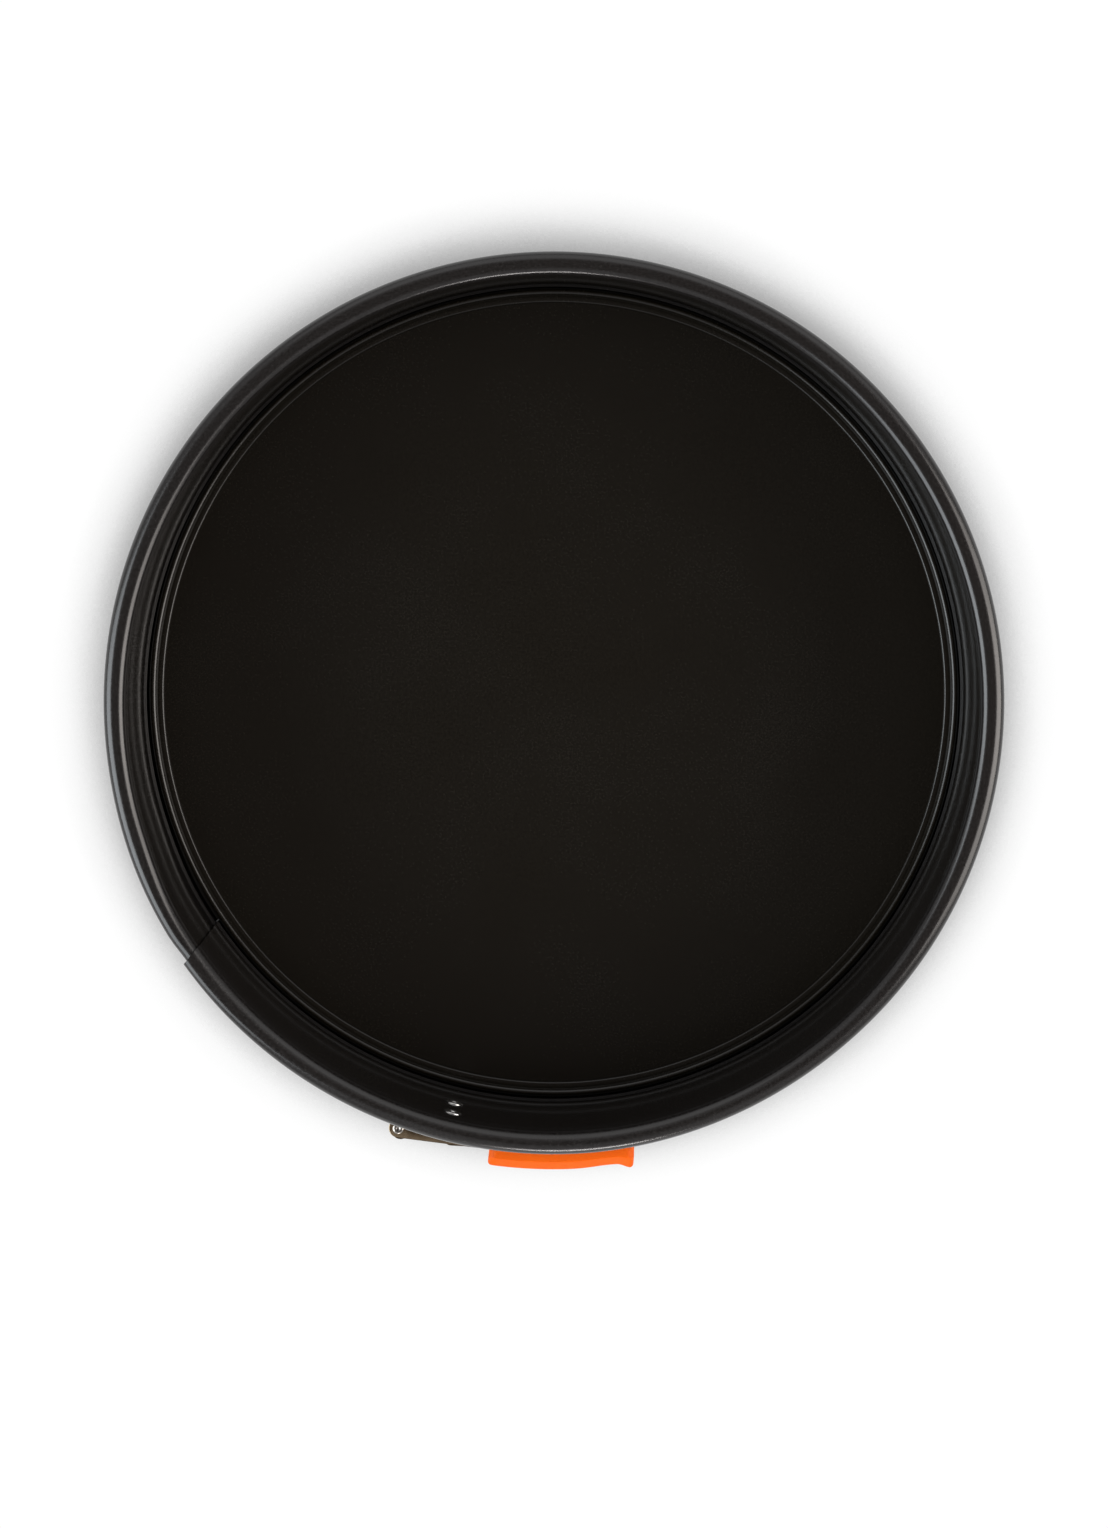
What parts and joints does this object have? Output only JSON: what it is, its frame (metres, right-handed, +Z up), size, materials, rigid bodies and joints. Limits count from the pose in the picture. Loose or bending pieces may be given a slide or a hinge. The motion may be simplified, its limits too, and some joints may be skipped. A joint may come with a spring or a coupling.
{
  "type": "springform pan",
  "caption": "Round non-stick cake pan with a rolled rim, a sprung side band closed by an over-centre lever latch with a silicone grip, and a loose lift-out base plate.",
  "frame": {"origin": "on the pan's axis, at the underside of the base plate and of the band's foot", "axes": "+Z up along the pan's axis; the latch is at the front near -Y, its grip pointing to +X"},
  "size_m": [0.2524, 0.2591, 0.0704],
  "materials": {
    "band_coating": "semi-gloss non-stick coating, near black",
    "base_coating": "satin non-stick coating, warm black with a fine speckle",
    "latch_plating": "bright nickel plate on stamped steel",
    "rivet_steel": "bare bright steel",
    "grip_silicone": "satin moulded silicone, orange"
  },
  "bodies": {
    "band_back": {"side_band_back": "band_coating"},
    "band_right": {"side_band_right": "band_coating", "side_band_overlap": "band_coating", "lever_bracket": "latch_plating", "lever_bracket_rivets": "rivet_steel", "lever_pivot_pin": "rivet_steel"},
    "band_left": {"side_band_left": "band_coating", "anchor_bracket": "latch_plating", "anchor_rivets": "rivet_steel"},
    "lever": {"lever": "latch_plating", "grip": "grip_silicone", "link_pin": "rivet_steel"},
    "link": {"link": "latch_plating", "anchor_pin": "rivet_steel"},
    "base_plate": {"base_plate": "base_coating"}
  },
  "joints": [
    {"name": "band_right_spread", "type": "hinge", "parent": "band_back", "child": "band_right", "pos_m": [0.1275, 0, 0.035], "axis": [0, 0, 1], "range_deg": [0, 1.22]},
    {"name": "band_left_spread", "type": "hinge", "parent": "band_back", "child": "band_left", "pos_m": [-0.1275, 0, 0.035], "axis": [0, 0, -1], "range_deg": [0, 1.22]},
    {"name": "lever_swing", "type": "hinge", "parent": "band_right", "child": "lever", "pos_m": [-0.02917, -0.12367, 0.049], "axis": [0, 0, -1], "range_deg": [0, 90]},
    {"name": "link_turn", "type": "hinge", "parent": "lever", "child": "link", "pos_m": [-0.02118, -0.12411, 0.049], "axis": [0, 0, 1], "range_deg": [0, 65]},
    {"name": "base_plate_lift", "type": "slide", "parent": "band_back", "child": "base_plate", "axis": [0, 0, 1], "range_m": [0, 0.085]}
  ],
  "couplings": [
    {"joint": "band_right_spread", "follows": "lever_swing", "ratio": 0.013347},
    {"joint": "band_left_spread", "follows": "lever_swing", "ratio": 0.013347},
    {"joint": "link_turn", "follows": "lever_swing", "ratio": 0.7161}
  ]
}
